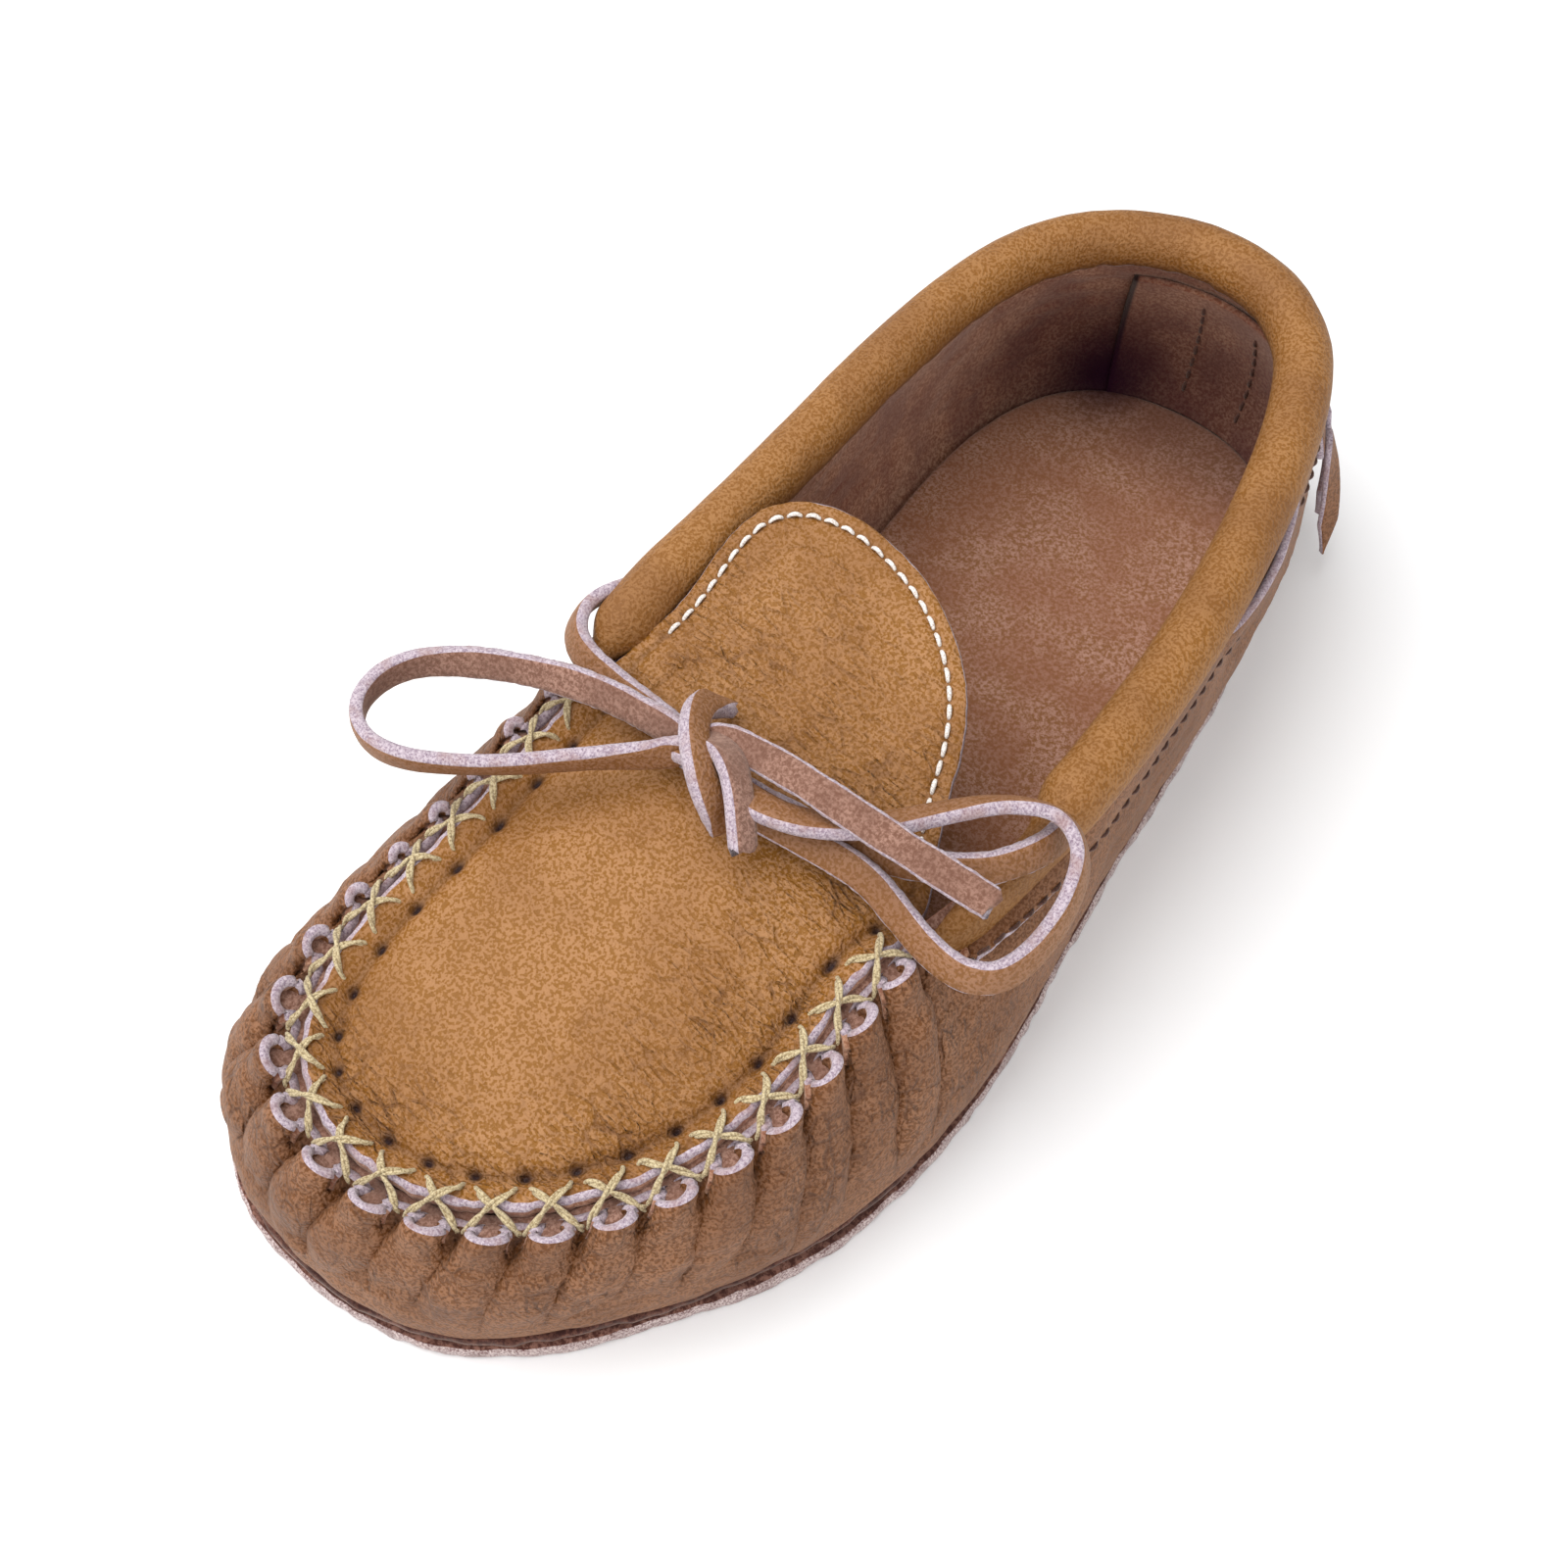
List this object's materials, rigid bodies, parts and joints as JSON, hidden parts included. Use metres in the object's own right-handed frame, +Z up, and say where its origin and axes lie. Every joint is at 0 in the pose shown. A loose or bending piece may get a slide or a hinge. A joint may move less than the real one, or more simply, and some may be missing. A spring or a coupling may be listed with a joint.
{
  "type": "moccasin",
  "caption": "Left leather moccasin with a puckered wall, stitched apron, lift-up tongue, rolled collar with a tied thong bow, padded footbed and heel fringe.",
  "frame": {"origin": "on the ground under the middle of the shoe, measured without the free thong and its bow", "axes": "+Z up from the sole, toe towards -Y and heel towards +Y, +X to the lateral side of this left shoe"},
  "size_m": [0.1231, 0.2752, 0.0698],
  "materials": {
    "sole_leather": "natural cut edge, matt",
    "rand_leather": "rough brown suede",
    "foam": "open foam",
    "footbed_suede": "light brown suede",
    "upper_leather": "soft caramel grain leather",
    "lining_suede": "brown suede flesh side",
    "lace_leather": "thong with grain face, suede face and pale edges",
    "waxed_thread": "waxed cream thread",
    "white_thread": "white sewing thread",
    "brown_thread": "brown sewing thread"
  },
  "bodies": {
    "shoe": {"outsole": "sole_leather", "midsole_rand": "rand_leather", "sole_padding": "foam", "insole": "footbed_suede", "wrap_upper": "upper_leather", "plug": "upper_leather", "collar": "upper_leather", "heel_stay": "lining_suede", "heel_tab": "upper_leather", "lace_heel_run": "lace_leather", "lace_left_strand": "lace_leather", "lace_left_loop": "lace_leather", "lace_right_strand": "lace_leather", "lace_right_loop": "lace_leather", "lace_knot": "lace_leather", "lace_long_tail": "lace_leather", "lace_short_tail": "lace_leather", "plug_cross_stitches": "waxed_thread", "collar_stitching": "white_thread", "heel_stitching": "brown_thread"},
    "tongue": {"tongue": "upper_leather", "tongue_lining": "lining_suede", "tongue_stitching": "white_thread"},
    "heel_fringe_medial": {"heel_fringe_medial": "lining_suede"},
    "heel_fringe_back": {"heel_fringe_back": "lining_suede"},
    "heel_fringe_lateral": {"heel_fringe_lateral": "lining_suede"}
  },
  "joints": [
    {"name": "tongue_lift", "type": "hinge", "parent": "shoe", "child": "tongue", "pos_m": [0, -0.0272, 0.052], "axis": [1, 0, 0], "range_deg": [0, 35]},
    {"name": "heel_fringe_medial_swing", "type": "hinge", "parent": "shoe", "child": "heel_fringe_medial", "pos_m": [-0.0373, 0.1255, 0.0392], "axis": [0.866, 0.5001, 0], "range_deg": [0, 70]},
    {"name": "heel_fringe_back_swing", "type": "hinge", "parent": "shoe", "child": "heel_fringe_back", "pos_m": [-0.0127, 0.133, 0.0397], "axis": [0.9991, 0.0423, 0], "range_deg": [0, 70]},
    {"name": "heel_fringe_lateral_swing", "type": "hinge", "parent": "shoe", "child": "heel_fringe_lateral", "pos_m": [0.0136, 0.1237, 0.0393], "axis": [0.6797, -0.7334, 0], "range_deg": [0, 70]}
  ]
}
